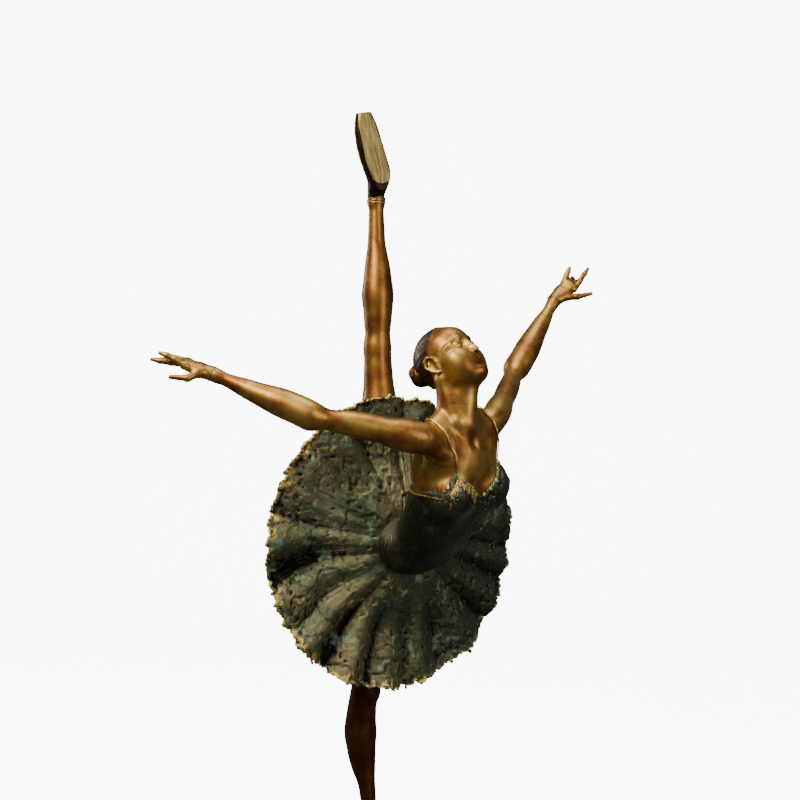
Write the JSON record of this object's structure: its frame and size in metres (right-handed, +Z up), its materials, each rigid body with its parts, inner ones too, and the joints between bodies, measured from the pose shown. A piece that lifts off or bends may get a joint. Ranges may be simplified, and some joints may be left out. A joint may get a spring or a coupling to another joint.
{
  "type": "bronze statuette",
  "caption": "Cast bronze statuette of a dancer in a deep arabesque with a fluted tutu, on a round dark marble base.",
  "frame": {"origin": "centre of the underside of the felt pad under the base", "axes": "+Z up, -Y to the front from which the raised arms and the tutu's face are seen, +X to that viewer's right"},
  "size_m": [0.3486, 0.2239, 0.6853],
  "materials": {
    "skin_bronze": "warm brown patina, waxed to a satin shine",
    "dark_bronze": "dark brown patina",
    "shoe_bronze": "olive brown patina rubbed through on the sole",
    "skirt_bronze": "olive patina with verdigris, rim rubbed bright",
    "bodice_bronze": "green-black patina",
    "gold_bronze": "rubbed bright gold bronze",
    "hair_bronze": "near-black brown patina",
    "black_marble": "polished black marble with pale veins",
    "green_felt": "pressed wool felt",
    "steel": "plain zinc-plated steel"
  },
  "bodies": {
    "root": {"marble_base": "black_marble", "base_felt": "green_felt", "base_stud": "steel", "stud_washer": "steel", "stud_nut": "steel", "toe_plate": "dark_bronze", "standing_shoe": "shoe_bronze", "standing_ribbon": "gold_bronze", "standing_leg": "skin_bronze", "leg_armature": "steel", "pelvis": "dark_bronze", "raised_leg": "skin_bronze", "raised_shoe": "shoe_bronze", "raised_ribbon": "gold_bronze", "overskirt": "skirt_bronze", "underskirt": "skirt_bronze", "skirt_pins": "steel", "waist_sash": "bodice_bronze", "torso": "skin_bronze", "bodice": "bodice_bronze", "lace_trim": "gold_bronze", "right_strap": "gold_bronze", "left_strap": "gold_bronze", "back_cord": "gold_bronze", "head": "skin_bronze", "hair": "hair_bronze", "hair_bun": "hair_bronze", "right_arm": "skin_bronze", "right_hand": "skin_bronze", "left_arm": "skin_bronze", "left_hand": "skin_bronze", "neck_dowel": "steel", "shoulder_dowels": "steel", "wrist_dowels": "steel", "hip_dowel": "steel", "raised_ankle_dowel": "steel"}
  },
  "joints": []
}
